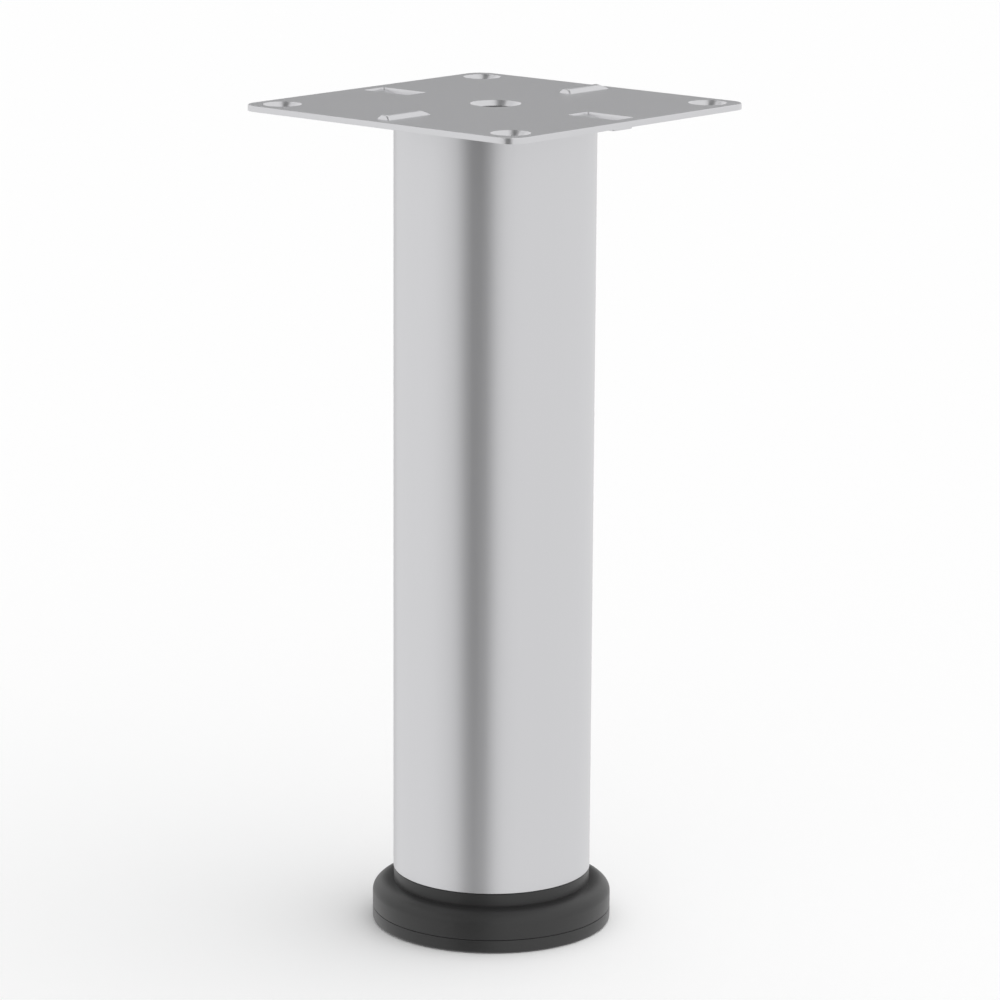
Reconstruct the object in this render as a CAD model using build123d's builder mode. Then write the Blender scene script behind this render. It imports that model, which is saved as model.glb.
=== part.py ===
"""Round steel furniture leg with a square screw-on plate and a black foot that screws in and out.

Millimetres, Z up. The origin is on the floor at the middle of the sole, the tube stands on the Z axis,
and the plate's sides run along X and Y. The foot is modelled screwed fully in.
"""

import os
from math import radians, tan

from build123d import *

# Whole leg: from the floor to the plate's upper face
leg_height = 212.0

# Tube
tube_diameter = 50.8
tube_wall = 1.5
tube_edge_break = 0.15

# Mounting plate, blanked and pressed from one sheet
plate_side = 90.0
plate_thickness = 1.5
plate_corner_radius = 5.0
plate_edge_roll = 0.3
screw_edge_distance = 7.5
screw_hole_diameter = 7.2
countersink_diameter = 9.8
countersink_angle = 90.0
centre_hole_diameter = 10.4
centre_countersink_diameter = 12.9

# Lances pressed into the sheet: two arches that stand up, and two hollows
lance_tube_clearance = 1.1
lance_edge_margin = 3.5
raised_width = 4.2
raised_height = 1.2
raised_end_radius = 0.8
raised_end_lean = 0.4
raised_ramp_run = 2.4
sunk_width = 7.7
sunk_depth = 1.2
sunk_corner_radius = 0.9
sunk_draft_run = 0.3
sunk_end_depth = 0.5
sunk_floor_run = 4.2

# Foot: a moulded body with a neck as wide as the tube, and the sole pad that it turns on
foot_diameter = 61.5
foot_height = 7.05
foot_wall = 2.8
foot_edge_radius = 0.15
shoulder_height = 3.3
neck_setback = 0.1
neck_height = 3.35
neck_edge_radius = 0.2
neck_gap = 0.1
hub_wall = 2.5
sole_thickness = 3.5
sole_edge_radius = 0.7
sole_recess_diameter = 42.0
sole_recess_depth = 1.2
seam_gap = 0.1
turning_clearance = 0.3
spigot_wall = 1.6
spigot_height = 2.4
bead_reach = 0.6
bead_height = 1.2

# Plug in the tube's lower end
insert_setback = 0.3
insert_clearance = 0.1
insert_depth = 24.0
insert_wall = 2.2
insert_floor = 4.5
insert_lead_in = 1.0
boss_wall = 2.5
boss_roof = 4.0

# Stiffening ribs of the two mouldings
rib_count = 6
rib_thickness = 2.0

# Levelling stud and its nut, M10
stud_diameter = 10.0
stud_head_height = 4.0
stud_end_chamfer = 1.0
stud_end_spare = 2.5
hexagon_flats = 17.0
hexagon_chamfer_angle = 30.0
hexagon_chamfer_overrun = 1.0
hexagon_clearance = 0.05
nut_height = 8.0
nut_recess = 0.4
thread_clearance = 0.1
stud_passage_clearance = 0.3
adjustment_travel = 15.0

# Levels above the floor
foot_bottom = sole_thickness + seam_gap
crease = foot_bottom + foot_height
neck_top = crease + neck_height
tube_bottom = neck_top + neck_gap
plate_top = leg_height
plate_bottom = plate_top - plate_thickness
insert_bottom = tube_bottom + insert_setback
stud_head_top = sole_thickness + stud_head_height
nut_bottom = insert_bottom + nut_recess
nut_top = nut_bottom + nut_height
boss_top = nut_top + boss_roof
stud_top = nut_top + adjustment_travel + stud_end_spare

# Radii about the Z axis
tube_radius = tube_diameter / 2
tube_bore = tube_radius - tube_wall
foot_radius = foot_diameter / 2
foot_bore = foot_radius - foot_wall
neck_radius = tube_radius - neck_setback
neck_bore = neck_radius - foot_wall
insert_radius = tube_bore - insert_clearance
insert_bore = insert_radius - insert_wall
stud_radius = stud_diameter / 2
hexagon_apothem = hexagon_flats / 2
pocket_apothem = hexagon_apothem + hexagon_clearance
hexagon_corner = hexagon_flats / 3**0.5
boss_radius = hexagon_corner + boss_wall
hub_radius = hexagon_corner + hub_wall
spigot_radius = foot_bore - turning_clearance
spigot_bore = spigot_radius - spigot_wall

# Hole and lance places on the plate, measured from the Z axis
screw_spacing = plate_side - 2 * screw_edge_distance
lance_inner_end = tube_radius + lance_tube_clearance
lance_outer_end = plate_side / 2 - lance_edge_margin
lance_length = lance_outer_end - lance_inner_end
raised_starts = [(-lance_outer_end, 0), (lance_inner_end, 0)]
sunk_starts = [(-sunk_width / 2, lance_outer_end), (-sunk_width / 2, -lance_inner_end)]

os.makedirs("parts", exist_ok=True)


def turn_hexagon_corners(bottom, top):
    """Trims the corners of the hexagon in the open part to a cone at both ends."""
    cone_run = hexagon_corner - hexagon_apothem + hexagon_chamfer_overrun
    cone_rise = cone_run * tan(radians(hexagon_chamfer_angle))
    with BuildSketch(Plane.XZ) as turned:
        with BuildLine():
            Polyline(
                (0, bottom),
                (hexagon_apothem, bottom),
                (hexagon_apothem + cone_run, bottom + cone_rise),
                (hexagon_apothem + cone_run, top - cone_rise),
                (hexagon_apothem, top),
                (0, top),
                close=True,
            )
        make_face()
    revolve(turned.sketch, axis=Axis.Z, mode=Mode.INTERSECT)


# Shape of a raised lance: an arch along X, cut nearly square at its -X end and ramped at its +X end
with BuildPart() as raised_form:
    with BuildSketch(Plane.YZ):
        with BuildLine():
            ThreePointArc((-raised_width / 2, 0), (0, raised_height), (raised_width / 2, 0))
            Line((raised_width / 2, 0), (-raised_width / 2, 0))
        make_face()
    extrude(amount=lance_length)
    with BuildSketch(Plane.XZ) as side_view:
        with BuildLine():
            Polyline(
                (0, 0),
                (lance_length, 0),
                (lance_length - raised_ramp_run, raised_height),
                (raised_end_lean, raised_height),
                close=True,
            )
        make_face()
    extrude(side_view.sketch, amount=raised_width, both=True, mode=Mode.INTERSECT)
    fillet(raised_form.faces().sort_by(Axis.X)[0].edges().sort_by(Axis.Z)[-1], raised_end_radius)

# Shape of a sunk lance: drafted sides, and a floor that slopes down from the +Y end
with BuildPart() as sunk_form:
    for depth, draft_inset, end_inset in (
        (0, 0, 0),
        (sunk_end_depth, sunk_draft_run / 2, sunk_draft_run / 2),
        (sunk_depth, sunk_draft_run, sunk_floor_run),
    ):
        with BuildSketch(Plane.XY.offset(-depth)):
            with Locations((draft_inset, -end_inset)):
                RectangleRounded(
                    sunk_width - 2 * draft_inset,
                    lance_length - draft_inset - end_inset,
                    sunk_corner_radius - draft_inset,
                    align=(Align.MIN, Align.MAX),
                )
    loft(ruled=True)

# Mounting plate: the sheet is pushed up at the raised lances and down at the sunk ones
with BuildPart() as mounting_plate:
    with BuildSketch(Plane.XY.offset(plate_bottom)):
        RectangleRounded(plate_side, plate_side, plate_corner_radius)
    extrude(amount=plate_thickness)
    fillet(mounting_plate.faces().sort_by(Axis.Z)[-1].edges(), plate_edge_roll)
    with Locations(*[(x, y, plate_top) for x, y in raised_starts]):
        add(raised_form.part)
    with Locations(*[(x, y, plate_bottom) for x, y in raised_starts]):
        add(raised_form.part, mode=Mode.SUBTRACT)
    with Locations(*[(x, y, plate_bottom) for x, y in sunk_starts]):
        add(sunk_form.part)
    with Locations(*[(x, y, plate_top) for x, y in sunk_starts]):
        add(sunk_form.part, mode=Mode.SUBTRACT)
    with Locations((0, 0, plate_top)):
        CounterSinkHole(
            centre_hole_diameter / 2,
            centre_countersink_diameter / 2,
            counter_sink_angle=countersink_angle,
        )
        with GridLocations(screw_spacing, screw_spacing, 2, 2):
            CounterSinkHole(
                screw_hole_diameter / 2,
                countersink_diameter / 2,
                counter_sink_angle=countersink_angle,
            )
mounting_plate.part.label = "mounting_plate"
export_step(mounting_plate.part, "parts/mounting_plate.step")

# Tube: square-cut at the top, where it meets the plate
with BuildPart() as leg_tube:
    with BuildSketch(Plane.XY.offset(tube_bottom)):
        Circle(tube_radius)
        Circle(tube_bore, mode=Mode.SUBTRACT)
    extrude(amount=plate_bottom - tube_bottom)
    fillet(
        leg_tube.faces().sort_by(Axis.Z)[0].edges().sort_by(SortBy.RADIUS)[-1],
        tube_edge_break,
    )
leg_tube.part.label = "leg_tube"
export_step(leg_tube.part, "parts/leg_tube.step")

# Plug: a cup inside the tube's lower end, with a boss that holds the nut
with BuildPart() as tube_insert:
    with BuildSketch(Plane.XY.offset(insert_bottom)):
        Circle(insert_radius)
    extrude(amount=insert_depth)
    chamfer(tube_insert.faces().sort_by(Axis.Z)[-1].edges(), insert_lead_in)
    with BuildSketch(Plane.XY.offset(insert_bottom + insert_floor)):
        Circle(insert_bore)
    extrude(amount=insert_depth - insert_floor, mode=Mode.SUBTRACT)
    with BuildSketch(Plane.XY.offset(insert_bottom + insert_floor)):
        Circle(boss_radius)
        with PolarLocations(0, rib_count):
            Rectangle(
                insert_bore + insert_wall / 2,
                rib_thickness,
                align=(Align.MIN, Align.CENTER),
            )
    extrude(amount=boss_top - insert_bottom - insert_floor)
    with BuildSketch(Plane.XY.offset(insert_bottom)):
        RegularPolygon(pocket_apothem, 6, major_radius=False)
    extrude(amount=nut_top - insert_bottom, mode=Mode.SUBTRACT)
    with Locations((0, 0, boss_top)):
        Hole(stud_radius + stud_passage_clearance)
tube_insert.part.label = "tube_insert"
export_step(tube_insert.part, "parts/tube_insert.step")

# Nut, pushed into the plug's pocket from below
with BuildPart() as captive_nut:
    with BuildSketch(Plane.XY.offset(nut_bottom)):
        RegularPolygon(hexagon_apothem, 6, major_radius=False)
    extrude(amount=nut_height)
    turn_hexagon_corners(nut_bottom, nut_top)
    with Locations((0, 0, nut_top)):
        Hole(stud_radius + thread_clearance)
captive_nut.part.label = "captive_nut"
export_step(captive_nut.part, "parts/captive_nut.step")

# Levelling stud: its hexagon head sits in the foot and stands on the sole
with BuildPart() as levelling_stud:
    with BuildSketch(Plane.XY.offset(sole_thickness)):
        RegularPolygon(hexagon_apothem, 6, major_radius=False)
    extrude(amount=stud_head_height)
    turn_hexagon_corners(sole_thickness, stud_head_top)
    with BuildSketch(Plane.XY.offset(stud_head_top)):
        Circle(stud_radius)
    extrude(amount=stud_top - stud_head_top)
    chamfer(levelling_stud.faces().sort_by(Axis.Z)[-1].edges(), stud_end_chamfer)
levelling_stud.part.label = "levelling_stud"
export_step(levelling_stud.part, "parts/levelling_stud.step")

# Levels of the sole's snap ring
spigot_top = sole_thickness + spigot_height
bead_bottom = spigot_top - bead_height
bead_middle = spigot_top - bead_height / 2

# Foot: a ribbed shell with a neck, a rounded shoulder, a hub for the stud's head and a groove for the sole
with BuildPart() as foot_body:
    with BuildSketch(Plane.XZ):
        with BuildLine():
            Polyline(
                (neck_radius, crease),
                (neck_radius, neck_top),
                (0, neck_top),
                (0, foot_bottom),
                (foot_radius, foot_bottom),
                (foot_radius, crease - shoulder_height),
            )
            EllipticalCenterArc(
                (neck_radius, crease - shoulder_height),
                foot_radius - neck_radius,
                shoulder_height,
            )
        make_face()
    revolve(axis=Axis.Z)
    fillet(foot_body.faces().sort_by(Axis.Z)[0].edges(), foot_edge_radius)
    fillet(foot_body.faces().sort_by(Axis.Z)[-1].edges(), neck_edge_radius)
    for cavity_radius, cavity_roof in ((foot_bore, crease - foot_wall), (neck_bore, neck_top - foot_wall)):
        with BuildSketch(Plane.XY.offset(foot_bottom)):
            Circle(cavity_radius)
            Circle(hub_radius, mode=Mode.SUBTRACT)
            with PolarLocations(0, rib_count):
                Rectangle(
                    spigot_bore - turning_clearance,
                    rib_thickness,
                    align=(Align.MIN, Align.CENTER),
                    mode=Mode.SUBTRACT,
                )
        extrude(amount=cavity_roof - foot_bottom, mode=Mode.SUBTRACT)
    with BuildSketch(Plane.XZ):
        with BuildLine():
            Polyline(
                (foot_bore, bead_bottom - turning_clearance),
                (foot_bore + bead_reach, bead_middle),
                (foot_bore, spigot_top + turning_clearance),
                close=True,
            )
        make_face()
    revolve(axis=Axis.Z, mode=Mode.SUBTRACT)
    with BuildSketch(Plane.XY.offset(foot_bottom)):
        RegularPolygon(pocket_apothem, 6, major_radius=False)
    extrude(amount=stud_head_top - foot_bottom, mode=Mode.SUBTRACT)
    with Locations((0, 0, neck_top)):
        Hole(stud_radius + hexagon_clearance)
foot_body.part.label = "foot_body"
export_step(foot_body.part, "parts/foot_body.step")

# Sole: a disc that stands on its outer ring and snaps into the foot
with BuildPart() as sole_pad:
    with BuildSketch():
        Circle(foot_radius)
    extrude(amount=sole_thickness)
    fillet(sole_pad.faces().sort_by(Axis.Z)[0].edges(), sole_edge_radius)
    fillet(sole_pad.faces().sort_by(Axis.Z)[-1].edges(), foot_edge_radius)
    with BuildSketch():
        Circle(sole_recess_diameter / 2)
    extrude(amount=sole_recess_depth, mode=Mode.SUBTRACT)
    with BuildSketch(Plane.XZ):
        with BuildLine():
            Polyline(
                (spigot_bore, sole_thickness),
                (spigot_radius, sole_thickness),
                (spigot_radius, bead_bottom),
                (spigot_radius + bead_reach, bead_middle),
                (spigot_radius, spigot_top),
                (spigot_bore, spigot_top),
                close=True,
            )
        make_face()
    revolve(axis=Axis.Z)
sole_pad.part.label = "sole_pad"
export_step(sole_pad.part, "parts/sole_pad.step")
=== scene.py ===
"""Round steel furniture leg with a square screw-on plate and a black levelling foot.

Sizes are in millimetres, Z up from the floor, and become metres where a mesh is made. The tube stands on
the Z axis and the plate's sides run along X and Y.
"""

from math import cos, radians, sin

import bmesh
import bpy
import numpy as np
from mathutils import Matrix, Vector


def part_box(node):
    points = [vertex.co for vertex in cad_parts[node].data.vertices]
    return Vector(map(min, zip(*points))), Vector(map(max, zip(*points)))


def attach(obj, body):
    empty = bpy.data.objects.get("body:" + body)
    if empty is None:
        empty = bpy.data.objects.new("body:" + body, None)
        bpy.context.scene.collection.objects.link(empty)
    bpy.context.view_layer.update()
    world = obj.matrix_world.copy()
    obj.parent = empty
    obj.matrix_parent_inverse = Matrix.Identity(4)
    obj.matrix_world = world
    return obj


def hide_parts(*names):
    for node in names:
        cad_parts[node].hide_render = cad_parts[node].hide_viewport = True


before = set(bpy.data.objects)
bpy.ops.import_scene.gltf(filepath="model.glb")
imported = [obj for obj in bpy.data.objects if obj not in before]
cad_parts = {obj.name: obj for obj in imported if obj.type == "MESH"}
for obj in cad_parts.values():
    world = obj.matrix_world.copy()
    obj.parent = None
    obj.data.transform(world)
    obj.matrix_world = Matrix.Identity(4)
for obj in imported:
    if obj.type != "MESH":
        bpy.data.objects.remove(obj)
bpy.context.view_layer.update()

MM = 0.001


# Sizes read from the frame

def node_box(name):
    """Lowest and highest corner of a CAD node, in millimetres."""
    return [np.array(corner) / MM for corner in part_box(name)]


tube_low, tube_high = node_box("leg_tube")
plug_low, plug_high = node_box("tube_insert")
nut_low, nut_high = node_box("captive_nut")
foot_low, foot_high = node_box("foot_body")
_, sole_high = node_box("sole_pad")
stud_low, stud_high = node_box("levelling_stud")

TUBE_RADIUS = tube_high[0]
TUBE_BOTTOM, TUBE_TOP = tube_low[2], tube_high[2]
PLUG_RADIUS = plug_high[0]
PLUG_BOTTOM, PLUG_TOP = plug_low[2], plug_high[2]
NUT_BOTTOM, NUT_TOP = nut_low[2], nut_high[2]
HEXAGON_APOTHEM = nut_high[1]
FOOT_RADIUS = foot_high[0]
FOOT_BOTTOM, NECK_TOP = foot_low[2], foot_high[2]
SPIGOT_TOP = sole_high[2]
STUD_BOTTOM, STUD_TOP = stud_low[2], stud_high[2]

# Tube
TUBE_WALL = 1.5
TUBE_EDGE_BREAK = 0.15

# Foot, whose neck meets its shoulder at the crease
FOOT_WALL = 2.8
FOOT_BORE = FOOT_RADIUS - FOOT_WALL
FOOT_EDGE_RADIUS = 0.15
SHOULDER_HEIGHT = 3.3
NECK_SETBACK = 0.1
NECK_RADIUS = TUBE_RADIUS - NECK_SETBACK
NECK_HEIGHT = 3.35
NECK_EDGE_RADIUS = 0.2
CREASE = NECK_TOP - NECK_HEIGHT

# Sole, with a spigot whose bead snaps into the foot
SOLE_THICKNESS = STUD_BOTTOM
SOLE_EDGE_RADIUS = 0.7
SOLE_RECESS_RADIUS = 21.0
SOLE_RECESS_DEPTH = 1.2
TURNING_CLEARANCE = 0.3
SPIGOT_WALL = 1.6
SPIGOT_RADIUS = FOOT_BORE - TURNING_CLEARANCE
SPIGOT_BORE = SPIGOT_RADIUS - SPIGOT_WALL
BEAD_REACH = 0.6
BEAD_HEIGHT = 1.2
BEAD_BOTTOM = SPIGOT_TOP - BEAD_HEIGHT
BEAD_MIDDLE = SPIGOT_TOP - BEAD_HEIGHT / 2

# Plug
PLUG_WALL = 2.2
PLUG_BORE = PLUG_RADIUS - PLUG_WALL
PLUG_FLOOR_THICKNESS = 4.5
PLUG_FLOOR = PLUG_BOTTOM + PLUG_FLOOR_THICKNESS
PLUG_LEAD_IN = 1.0
BOSS_ROOF = 4.0
BOSS_TOP = NUT_TOP + BOSS_ROOF
PASSAGE_RADIUS = 5.3

# Ribs of the two mouldings
RIB_COUNT = 6
RIB_THICKNESS = 2.0
FOOT_RIB_END = SPIGOT_BORE - TURNING_CLEARANCE

# Hexagon of the nut and the stud's head, with the pocket and hub around it
HEXAGON_CORNER = HEXAGON_APOTHEM / cos(radians(30))
HEXAGON_CLEARANCE = 0.05
HEXAGON_CHAMFER_SLOPE = 0.577
POCKET_APOTHEM = HEXAGON_APOTHEM + HEXAGON_CLEARANCE
HUB_WALL = 2.5
HUB_RADIUS = HEXAGON_CORNER + HUB_WALL

# Stud and its M10 thread
STUD_RADIUS = 5.0
STUD_HEAD_HEIGHT = 4.0
STUD_HEAD_TOP = STUD_BOTTOM + STUD_HEAD_HEIGHT
STUD_END_CHAMFER = 1.0
THREAD_PITCH = 1.5
THREAD_DEPTH_SHARE = 0.61
THREAD_DEPTH = THREAD_DEPTH_SHARE * THREAD_PITCH
THREAD_CREST = THREAD_PITCH / 8
THREAD_FLANK_SLOPE = 1.732
THREAD_RUN_OUT = 1.5
THREAD_CLEARANCE = 0.1

# Fineness of the meshes
TURN_STEPS = 192
GAP_STEPS = 32
THREAD_TURN_STEPS = 72
THREAD_ROWS_PER_PITCH = 16
ARC_STEPS = 6
SHOULDER_STEPS = 24
SHARP_ANGLE = 32
MERGE_DISTANCE = 0.002


# Mesh helpers

def grid_faces(rows, columns, rows_close=True):
    """Quads between neighbouring lines of a grid of points.

    The grid closes round from its last column to its first, and from its last row to its first if asked.
    """
    row = np.arange(rows if rows_close else rows - 1)[:, None]
    column = np.arange(columns)[None, :]
    next_row = (row + 1) % rows
    next_column = (column + 1) % columns
    corners = [
        row * columns + column,
        row * columns + next_column,
        next_row * columns + next_column,
        next_row * columns + column,
    ]
    return np.stack([np.broadcast_to(c, (len(row), columns)) for c in corners], axis=-1).reshape(-1, 4)


def make_piece(name, points, faces, finish, body, slot, node):
    """Mesh from points in millimetres, which takes a CAD node's place.

    Doubled points and faces without area are taken out, and it is smooth but for its sharp edges.
    """
    mesh = bpy.data.meshes.new(name)
    mesh.from_pydata(points.reshape(-1, 3) * MM, [], faces)
    shape = bmesh.new()
    shape.from_mesh(mesh)
    bmesh.ops.remove_doubles(shape, verts=shape.verts, dist=MERGE_DISTANCE * MM)
    bmesh.ops.dissolve_degenerate(shape, edges=shape.edges, dist=MERGE_DISTANCE * MM)
    shape.to_mesh(mesh)
    shape.free()
    mesh.shade_smooth()
    mesh.set_sharp_from_angle(angle=radians(SHARP_ANGLE))
    mesh.materials.append(finish)
    piece = bpy.data.objects.new(name, mesh)
    bpy.context.scene.collection.objects.link(piece)
    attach(piece, body)
    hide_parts(node)


def turned_points(radius, height, angle):
    """Points at a radius and height round the Z axis, on a grid of rows and angles.

    x = r cos a, y = r sin a, z = h.
    """
    radius, height, angle = np.broadcast_arrays(radius, height, angle)
    return np.stack([radius * np.cos(angle), radius * np.sin(angle), height], axis=-1)


def full_turn(steps):
    """Angles of one turn, as a row of the grid."""
    return np.arange(steps)[None, :] * 2 * np.pi / steps


def outline(*corners):
    """Closed outline through corners of (radius, height, rounding).

    A corner with a rounding becomes an arc tangent to its sides. The arc's centre lies on the corner's
    bisector at rounding / sin(half angle), and the arc sweeps from the foot of the centre on one side to
    that on the other.
    """
    points = []
    for index, (x, y, rounding) in enumerate(corners):
        corner = np.array([x, y])
        if not rounding:
            points.append(corner)
            continue
        before = np.array(corners[index - 1][:2]) - corner
        after = np.array(corners[(index + 1) % len(corners)][:2]) - corner
        before = before / np.linalg.norm(before)
        after = after / np.linalg.norm(after)
        half_angle = np.arccos(before @ after) / 2
        bisector = (before + after) / np.linalg.norm(before + after)
        centre = corner + bisector * rounding / np.sin(half_angle)
        across = before - bisector * (before @ bisector)
        across = across / np.linalg.norm(across)
        for turn in np.linspace(1, -1, ARC_STEPS + 1) * (np.pi / 2 - half_angle):
            points.append(centre + rounding * (across * np.sin(turn) - bisector * np.cos(turn)))
    return np.array(points)


def hexagon(angle):
    """Radius of a hexagon over its apothem: 1 / cos(angle from the middle of the flat).

    Its corners are at 0, 60 and 120 degrees, and so on.
    """
    return 1 / np.cos(angle % (np.pi / 3) - np.pi / 6)


# Surfaces of the pieces

def turned_ring(profile):
    """A closed outline of radius and height turned round the Z axis."""
    points = turned_points(profile[:, :1], profile[:, 1:2], full_turn(TURN_STEPS))
    return points, grid_faces(len(profile), TURN_STEPS)


def ribbed_moulding(rows):
    """A turned moulding whose ribs fill its hollow.

    A row is (radius, height, height on a rib, is hexagonal). Each sixth of a turn has three columns on the
    rib and a run of columns in the gap. A column's angle is its place in the turn plus a lean times
    arcsin(half rib / radius), so the columns at a rib's sides stay parallel as far in as the hub. The two
    columns on a side differ only in height, which makes the rib's upright face.
    """
    radius, height, rib_height, hexagonal = np.array(rows, dtype=float).T[:, :, None]
    share = np.linspace(0, 1, GAP_STEPS + 1)
    rib_lean = np.array([-1, 0, 1])
    place = np.concatenate([0 * rib_lean, share * 2 * np.pi / RIB_COUNT])
    lean = np.concatenate([rib_lean, 1 - 2 * share])
    on_rib = np.concatenate([np.ones_like(rib_lean), np.zeros_like(share)])
    sector = np.repeat(np.arange(RIB_COUNT) * 2 * np.pi / RIB_COUNT, len(place))
    half_rib = np.arcsin(RIB_THICKNESS / 2 / np.maximum(radius, HUB_RADIUS))
    angle = sector + np.tile(place, RIB_COUNT) + np.tile(lean, RIB_COUNT) * half_rib
    rib_column = np.tile(on_rib, RIB_COUNT)
    points = turned_points(
        np.where(hexagonal > 0, radius * hexagon(angle), radius),
        np.where(rib_column > 0, rib_height, height),
        angle,
    )
    return points, grid_faces(*points.shape[:2])


def thread_radius(angle, height):
    """Radius of a right-hand screw thread: flat crest, straight flanks, flat root.

    The height within a pitch, less the turn's share of the pitch, gives the distance from the crest's
    middle. Past half the crest the radius falls by the flank's slope, down to the thread's depth.
    """
    phase = (height / THREAD_PITCH - angle / (2 * np.pi)) % 1
    from_crest = np.abs(phase - 0.5) * THREAD_PITCH
    return STUD_RADIUS - np.clip((from_crest - THREAD_CREST / 2) * THREAD_FLANK_SLOPE, 0, THREAD_DEPTH)


def hexagon_rows(bottom, top, angle):
    """Rows of a hexagon's outside whose corners are turned off to a cone at both ends.

    The cone starts at the flat's radius on the end face and meets the hexagon where it has risen by
    (hexagon radius - apothem) times the slope of 30 degrees.
    """
    side = HEXAGON_APOTHEM * hexagon(angle)
    rise = (side - HEXAGON_APOTHEM) * HEXAGON_CHAMFER_SLOPE
    face = np.full_like(side, HEXAGON_APOTHEM)
    return [(face, bottom + 0 * rise), (side, bottom + rise), (side, top - rise), (face, top + 0 * rise)]


def stacked(rows, angle):
    """Points of rows of (radius, height) arrays at the same angles."""
    radius = np.concatenate([np.broadcast_to(r, angle.shape) for r, _ in rows])
    height = np.concatenate([np.broadcast_to(h, angle.shape) for _, h in rows])
    return turned_points(radius, height, angle)


def threaded_stud():
    """A hexagon head, then rows up the thread, which fades out at the head and within the end's chamfer."""
    angle = full_turn(THREAD_TURN_STEPS)
    count = int((STUD_TOP - STUD_HEAD_TOP) / THREAD_PITCH * THREAD_ROWS_PER_PITCH)
    height = np.linspace(STUD_HEAD_TOP, STUD_TOP, count)[:, None]
    grown = np.clip((height - STUD_HEAD_TOP) / THREAD_RUN_OUT, 0, 1)
    radius = STUD_RADIUS - (STUD_RADIUS - thread_radius(angle, height)) * grown
    radius = np.minimum(radius, STUD_RADIUS - STUD_END_CHAMFER + STUD_TOP - height)
    head = hexagon_rows(STUD_BOTTOM, STUD_HEAD_TOP, angle)
    axis = np.zeros_like(angle)
    points = np.concatenate([
        stacked([(axis, axis + STUD_BOTTOM)] + head, angle),
        turned_points(radius, height, angle),
        stacked([(axis, axis + STUD_TOP)], angle),
    ])
    return points, grid_faces(*points.shape[:2], rows_close=False)


def threaded_nut():
    """A hexagon outside and, going down inside, the stud's thread with a clearance."""
    angle = full_turn(THREAD_TURN_STEPS)
    count = int((NUT_TOP - NUT_BOTTOM) / THREAD_PITCH * THREAD_ROWS_PER_PITCH)
    height = np.linspace(NUT_TOP, NUT_BOTTOM, count)[:, None]
    points = np.concatenate([
        stacked(hexagon_rows(NUT_BOTTOM, NUT_TOP, angle), angle),
        turned_points(thread_radius(angle, height) + THREAD_CLEARANCE, height, angle),
    ])
    return points, grid_faces(*points.shape[:2])


def foot_rows():
    """Rows of the foot, for ribbed_moulding.

    They go up its outside, over the neck and back through the stud's hole and the ribbed hollow.
    """
    outside = outline(
        (FOOT_RADIUS - FOOT_WALL / 2, FOOT_BOTTOM, 0),
        (FOOT_RADIUS, FOOT_BOTTOM, FOOT_EDGE_RADIUS),
        (FOOT_RADIUS, CREASE - SHOULDER_HEIGHT, 0),
    )
    turn = np.linspace(0, np.pi / 2, SHOULDER_STEPS + 1)[1:]
    shoulder = np.stack([
        NECK_RADIUS + (FOOT_RADIUS - NECK_RADIUS) * np.cos(turn),
        CREASE - SHOULDER_HEIGHT + SHOULDER_HEIGHT * np.sin(turn),
    ], axis=-1)
    neck = outline(
        (NECK_RADIUS, CREASE, 0),
        (NECK_RADIUS, NECK_TOP, NECK_EDGE_RADIUS),
        (STUD_RADIUS + HEXAGON_CLEARANCE, NECK_TOP, 0),
        (STUD_RADIUS + HEXAGON_CLEARANCE, STUD_HEAD_TOP, 0),
    )
    rows = [(r, z, z, 0) for r, z in np.concatenate([outside, shoulder, neck])]
    neck_roof = NECK_TOP - FOOT_WALL
    neck_bore = NECK_RADIUS - FOOT_WALL
    roof = CREASE - FOOT_WALL
    rows += [
        (POCKET_APOTHEM, STUD_HEAD_TOP, STUD_HEAD_TOP, 1),
        (POCKET_APOTHEM, FOOT_BOTTOM, FOOT_BOTTOM, 1),
        (HUB_RADIUS, FOOT_BOTTOM, FOOT_BOTTOM, 0),
        (HUB_RADIUS, neck_roof, FOOT_BOTTOM, 0),
        (neck_bore, neck_roof, FOOT_BOTTOM, 0),
        (neck_bore, roof, FOOT_BOTTOM, 0),
        (FOOT_RIB_END, roof, FOOT_BOTTOM, 0),
    ]
    groove = [
        (FOOT_RIB_END, roof),
        (FOOT_BORE, roof),
        (FOOT_BORE, SPIGOT_TOP + TURNING_CLEARANCE),
        (FOOT_BORE + BEAD_REACH, BEAD_MIDDLE),
        (FOOT_BORE, BEAD_BOTTOM - TURNING_CLEARANCE),
        (FOOT_BORE, FOOT_BOTTOM),
    ]
    return rows + [(r, z, z, 0) for r, z in groove]


def plug_rows():
    """Rows of the plug, for ribbed_moulding.

    They go up its outside, down into its ribbed cup, over the boss and down through the nut's pocket.
    """
    plain = [
        (PLUG_RADIUS, PLUG_BOTTOM),
        (PLUG_RADIUS, PLUG_TOP - PLUG_LEAD_IN),
        (PLUG_RADIUS - PLUG_LEAD_IN, PLUG_TOP),
        (PLUG_BORE, PLUG_TOP),
        (PLUG_BORE, BOSS_TOP),
    ]
    boss = [
        (HUB_RADIUS, BOSS_TOP),
        (PASSAGE_RADIUS, BOSS_TOP),
        (PASSAGE_RADIUS, NUT_TOP),
    ]
    rows = [(r, z, z, 0) for r, z in plain]
    rows += [(PLUG_BORE, PLUG_FLOOR, BOSS_TOP, 0), (HUB_RADIUS, PLUG_FLOOR, BOSS_TOP, 0)]
    rows += [(r, z, z, 0) for r, z in boss]
    return rows + [(POCKET_APOTHEM, NUT_TOP, NUT_TOP, 1), (POCKET_APOTHEM, PLUG_BOTTOM, PLUG_BOTTOM, 1)]


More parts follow.
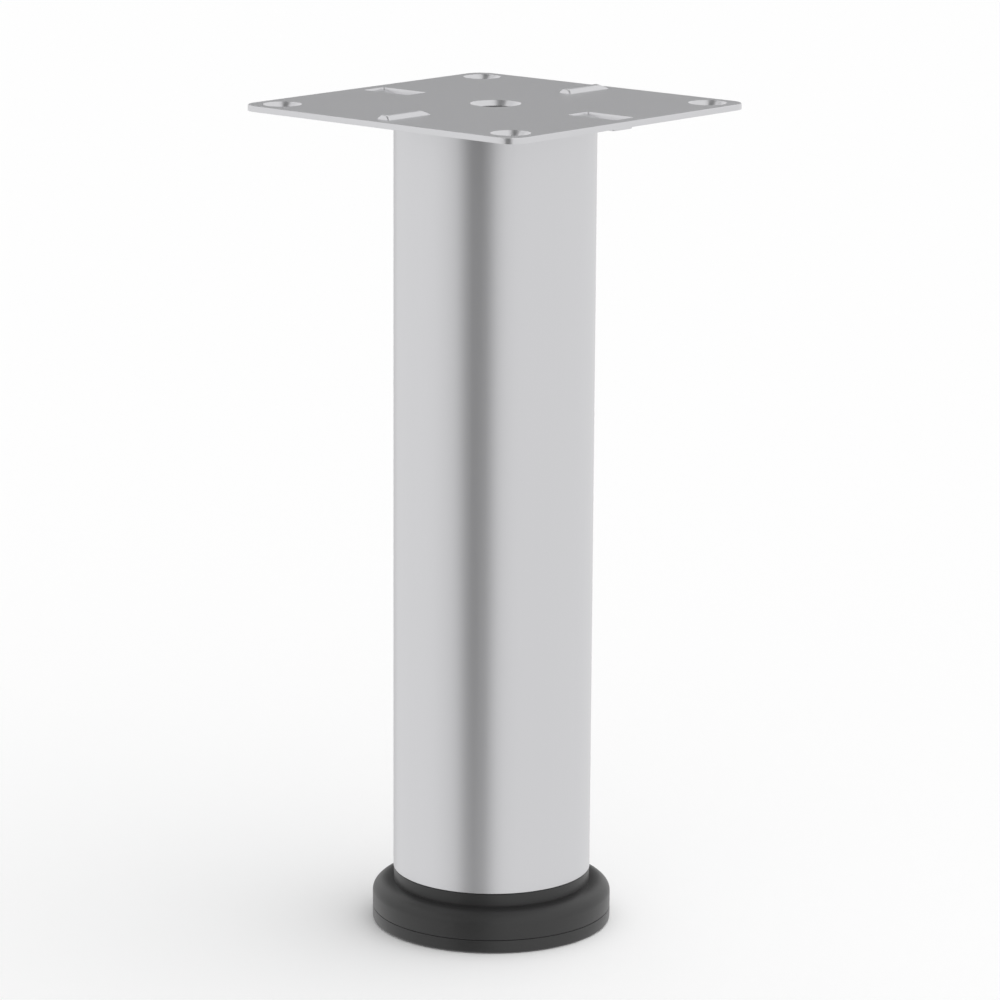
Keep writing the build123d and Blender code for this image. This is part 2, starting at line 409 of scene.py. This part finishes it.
def tube_profile():
    """The tube's wall, with the outer edge of its lower end broken."""
    bore = TUBE_RADIUS - TUBE_WALL
    return outline(
        (TUBE_RADIUS, TUBE_BOTTOM, TUBE_EDGE_BREAK),
        (TUBE_RADIUS, TUBE_TOP, 0),
        (bore, TUBE_TOP, 0),
        (bore, TUBE_BOTTOM, 0),
    )


def sole_profile():
    """The sole's disc with its rounded rim, its snap ring and the shallow hollow underneath."""
    return outline(
        (SOLE_RECESS_RADIUS, 0, 0),
        (FOOT_RADIUS, 0, SOLE_EDGE_RADIUS),
        (FOOT_RADIUS, SOLE_THICKNESS, FOOT_EDGE_RADIUS),
        (SPIGOT_RADIUS, SOLE_THICKNESS, 0),
        (SPIGOT_RADIUS, BEAD_BOTTOM, 0),
        (SPIGOT_RADIUS + BEAD_REACH, BEAD_MIDDLE, 0),
        (SPIGOT_RADIUS, SPIGOT_TOP, 0),
        (SPIGOT_BORE, SPIGOT_TOP, 0),
        (SPIGOT_BORE, SOLE_THICKNESS, 0),
        (0, SOLE_THICKNESS, 0),
        (0, SOLE_RECESS_DEPTH, 0),
        (SOLE_RECESS_RADIUS, SOLE_RECESS_DEPTH, 0),
    )


# Materials

NOISE_DETAIL = 3.0
NOISE_ROUGHNESS = 0.55
NOISE_LOW, NOISE_HIGH = 0.25, 0.75
LEVEL_FACE = 0.9


def linear(hex_colour):
    """Linear RGBA of an sRGB hex colour."""
    parts = [int(hex_colour[place:place + 2], 16) / 255 for place in (1, 3, 5)]
    return [c / 12.92 if c <= 0.04045 else ((c + 0.055) / 1.055) ** 2.4 for c in parts] + [1.0]


def add_node(tree, kind, settings=(), values=(), links=()):
    """Adds a node with its settings and socket values, and links it from (node, output) to its inputs."""
    node = tree.nodes.new(kind)
    for name, value in dict(settings).items():
        setattr(node, name, value)
    for socket, value in dict(values).items():
        node.inputs[socket].default_value = value
    for socket, (source, output) in dict(links).items():
        tree.links.new(source.outputs[output], node.inputs[socket])
    return node


def new_material(name, values):
    """A material with its shader's socket values set."""
    made = bpy.data.materials.new(name)
    made.use_nodes = True
    shader = made.node_tree.nodes["Principled BSDF"]
    for socket, value in values.items():
        shader.inputs[socket].default_value = value
    return made, made.node_tree, shader


def grained(name, values, grain, roughness, relief, stretch=(1, 1, 1), edge_smoothing=0.0):
    """A finish whose roughness and relief follow a fine noise.

    The noise has a cell of grain millimetres, drawn out along each axis by stretch. Roughness is a pair of
    limits, and relief is the depth of the bump in millimetres. Faces that aren't level are smoother by up
    to edge_smoothing.
    """
    made, tree, shader = new_material(name, values)
    place = add_node(tree, "ShaderNodeTexCoord")
    scale = [1 / (grain * MM * s) for s in stretch]
    mapped = add_node(
        tree,
        "ShaderNodeMapping",
        values={"Scale": scale},
        links={"Vector": (place, "Object")},
    )
    noise = add_node(
        tree,
        "ShaderNodeTexNoise",
        values={"Scale": 1.0, "Detail": NOISE_DETAIL, "Roughness": NOISE_ROUGHNESS},
        links={"Vector": (mapped, "Vector")},
    )
    smoothest, roughest = roughness
    spread = add_node(
        tree,
        "ShaderNodeMapRange",
        values={"From Min": NOISE_LOW, "From Max": NOISE_HIGH, "To Min": smoothest, "To Max": roughest},
        links={"Value": (noise, "Fac")},
    )
    bump = add_node(
        tree,
        "ShaderNodeBump",
        values={"Strength": 1.0, "Distance": relief * MM},
        links={"Height": (noise, "Fac")},
    )
    rough = (spread, "Result")
    if edge_smoothing:
        normal = add_node(tree, "ShaderNodeSeparateXYZ", links={"Vector": (place, "Normal")})
        level = add_node(tree, "ShaderNodeMath", {"operation": "ABSOLUTE"}, links={0: (normal, "Z")})
        eased = add_node(
            tree,
            "ShaderNodeMapRange",
            values={"From Min": LEVEL_FACE, "From Max": 1.0, "To Min": -edge_smoothing, "To Max": 0.0},
            links={"Value": (level, "Value")},
        )
        both = add_node(
            tree,
            "ShaderNodeMath",
            {"operation": "ADD"},
            links={0: (spread, "Result"), 1: (eased, "Result")},
        )
        rough = (both, "Value")
    tree.links.new(rough[0].outputs[rough[1]], shader.inputs["Roughness"])
    tree.links.new(bump.outputs["Normal"], shader.inputs["Normal"])
    return made


BARE_STEEL = {"Base Color": linear("#D2D2D4"), "Metallic": 1.0}
BLACK_PLASTIC = {"Base Color": linear("#2A2A2A"), "Specular IOR Level": 0.45}
ZINC = {"Base Color": linear("#C6C9CC"), "Metallic": 1.0}

# Drawn steel tube, brushed along its length: a soft silvery sheen with the finest of lines
tube_steel = grained(
    "brushed_drawn_steel",
    BARE_STEEL,
    grain=0.35,
    roughness=(0.34, 0.38),
    relief=0.0002,
    stretch=(1, 1, 400),
)

# Cold-rolled sheet steel, blanked and tumbled: even grey satin, with smoother edges where the tool
# burnished it
plate_steel = grained(
    "tumbled_sheet_steel",
    BARE_STEEL,
    grain=0.5,
    roughness=(0.48, 0.52),
    relief=0.0002,
    edge_smoothing=0.20,
)

# Glass-filled nylon moulding, spark-eroded tool: dull black with a fine grain
foot_plastic = grained(
    "moulded_black_nylon",
    BLACK_PLASTIC,
    grain=0.3,
    roughness=(0.35, 0.43),
    relief=0.003,
)

# Polythene moulding: a little smoother than the foot, with a coarser grain
sole_plastic = grained(
    "moulded_black_polythene",
    BLACK_PLASTIC,
    grain=0.5,
    roughness=(0.34, 0.42),
    relief=0.002,
)

# Zinc-plated steel: bright, slightly bluish, with a faint crystalline mottle
zinc_steel = grained(
    "zinc_plated_steel",
    ZINC,
    grain=0.8,
    roughness=(0.26, 0.38),
    relief=0.0005,
)


# Pieces

make_piece("tube", *turned_ring(tube_profile()), tube_steel, "leg", "tube_steel", "leg_tube")
make_piece("plug", *ribbed_moulding(plug_rows()), foot_plastic, "leg", "black_plastic", "tube_insert")
make_piece("nut", *threaded_nut(), zinc_steel, "leg", "zinc_steel", "captive_nut")
make_piece("foot", *ribbed_moulding(foot_rows()), foot_plastic, "foot", "black_plastic", "foot_body")
make_piece("stud", *threaded_stud(), zinc_steel, "foot", "zinc_steel", "levelling_stud")
make_piece("sole", *turned_ring(sole_profile()), sole_plastic, "sole", "sole_plastic", "sole_pad")
for plate_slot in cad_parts["mounting_plate"].material_slots:
    plate_slot.material = plate_steel


# Camera, at the photograph's viewing angle

VIEW_AZIMUTH = -48.99
VIEW_PITCH = 12.95
VIEW_ROLL = 0.3376
EYE = (-0.78195, -0.68218, 0.3494)
LENS = 150.84

camera = bpy.data.objects.new("camera", bpy.data.cameras.new("camera"))
camera.data.lens = LENS
camera.matrix_world = (
    Matrix.Translation(EYE)
    @ Matrix.Rotation(radians(VIEW_AZIMUTH), 4, "Z")
    @ Matrix.Rotation(radians(90 - VIEW_PITCH), 4, "X")
    @ Matrix.Rotation(radians(VIEW_ROLL), 4, "Z")
)
bpy.context.scene.collection.objects.link(camera)
bpy.context.scene.camera = camera
bpy.context.scene.view_settings.view_transform = "Standard"


# Studio: a white light tent with grey cards that the steel mirrors, and a pale floor

RIGHT = np.array([cos(radians(VIEW_AZIMUTH)), sin(radians(VIEW_AZIMUTH)), 0.0])
TOWARDS = np.array([sin(radians(VIEW_AZIMUTH)), -cos(radians(VIEW_AZIMUTH)), 0.0])
UP = np.array([0.0, 0.0, 1.0])
TENT_LIGHT = 1.0
SIDE_LIGHT = 0.85
OVERHEAD_HEIGHT = 2.6

world = bpy.data.worlds.new("white_tent")
world.use_nodes = True
bpy.context.scene.world = world
tent = world.node_tree
sky = tent.nodes["Background"]
sky.inputs["Color"].default_value = linear("#FFFFFF")

# Matt surfaces see the tent brighter from the camera's right, with the same level on the floor
direction = add_node(tent, "ShaderNodeTexCoord")
sideways = add_node(
    tent,
    "ShaderNodeVectorMath",
    {"operation": "DOT_PRODUCT"},
    values={1: SIDE_LIGHT * RIGHT},
    links={0: (direction, "Generated")},
)
ray = add_node(tent, "ShaderNodeLightPath")
level = add_node(
    tent,
    "ShaderNodeMath",
    {"operation": "MULTIPLY_ADD"},
    values={2: TENT_LIGHT},
    links={0: (sideways, "Value"), 1: (ray, "Is Diffuse Ray")},
)
tent.links.new(level.outputs["Value"], sky.inputs["Strength"])


def add_sheet(name, corners, values):
    """A flat sheet of the studio, through four corners in metres, with its shader's values."""
    mesh = bpy.data.meshes.new(name)
    mesh.from_pydata([tuple(corner) for corner in corners], [], [(0, 1, 2, 3)])
    finish, _, _ = new_material(name, {"Roughness": 1.0, "Specular IOR Level": 0.0, **values})
    mesh.materials.append(finish)
    sheet = bpy.data.objects.new(name, mesh)
    bpy.context.scene.collection.objects.link(sheet)
    return sheet


def add_card(name, corners, colour):
    """A card of an even brightness that only reflections see.

    A corner is (right of the camera's line, towards the camera, up), in metres from the leg's foot.
    """
    sheet = add_sheet(name, np.array(corners) @ np.stack([RIGHT, TOWARDS, UP]), {
        "Base Color": linear("#000000"),
        "Emission Color": linear(colour),
        "Emission Strength": 1.0,
    })
    sheet.data.materials[0].cycles.emission_sampling = "NONE"
    sheet.visible_camera = False
    sheet.visible_diffuse = False
    sheet.visible_shadow = False


def upright(bearing, width, distance, low, high):
    """Corners of an upright card that faces the leg, for add_card.

    The bearing is in degrees to the right of the camera's side, and the lengths are in metres.
    """
    turn = radians(bearing)
    across = (cos(turn), -sin(turn))
    out = (sin(turn), cos(turn))
    ends = [[distance * o + side * width / 2 * a for o, a in zip(out, across)] for side in (-1, 1)]
    return [(*ends[0], low), (*ends[1], low), (*ends[1], high), (*ends[0], high)]


def overhead(*corners):
    """Corners of a level card above the leg, for add_card, from (right, towards the camera)."""
    return [(*corner, OVERHEAD_HEIGHT) for corner in corners]


add_card("front_card", upright(bearing=-19, width=1.56, distance=2.6, low=-1.8, high=2.6), "#787878")
add_card("front_wing", upright(bearing=-50, width=1.3, distance=2.7, low=-1.8, high=2.6), "#F6F6F6")
add_card("far_card", upright(bearing=180, width=1.3, distance=2.6, low=0.2, high=2.4), "#686868")
add_card("far_low_card", upright(bearing=196, width=1.2, distance=2.6, low=-1.8, high=0.2), "#D8D8D8")
add_card("overhead_card", overhead((-1.4, 2.5), (-1.15, -0.4), (-0.1, -0.4), (-0.1, 2.5)), "#666666")
add_card("overhead_far_card", overhead((-1.9, -1.2), (-1.3, -2.6), (-0.6, -2.6), (-1.0, -1.0)), "#505050")

FLOOR_REACH = 3.0
FLOOR_DROP = 0.05 * MM
floor = add_sheet(
    "pale_floor",
    [(x * FLOOR_REACH, y * FLOOR_REACH, -FLOOR_DROP) for x, y in ((-1, -1), (1, -1), (1, 1), (-1, 1))],
    {"Base Color": linear("#FEFEFE")},
)
floor.visible_glossy = False

# The floor goes with the sole that stands on it, so that the foot shows where it is screwed out
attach(floor, "sole")
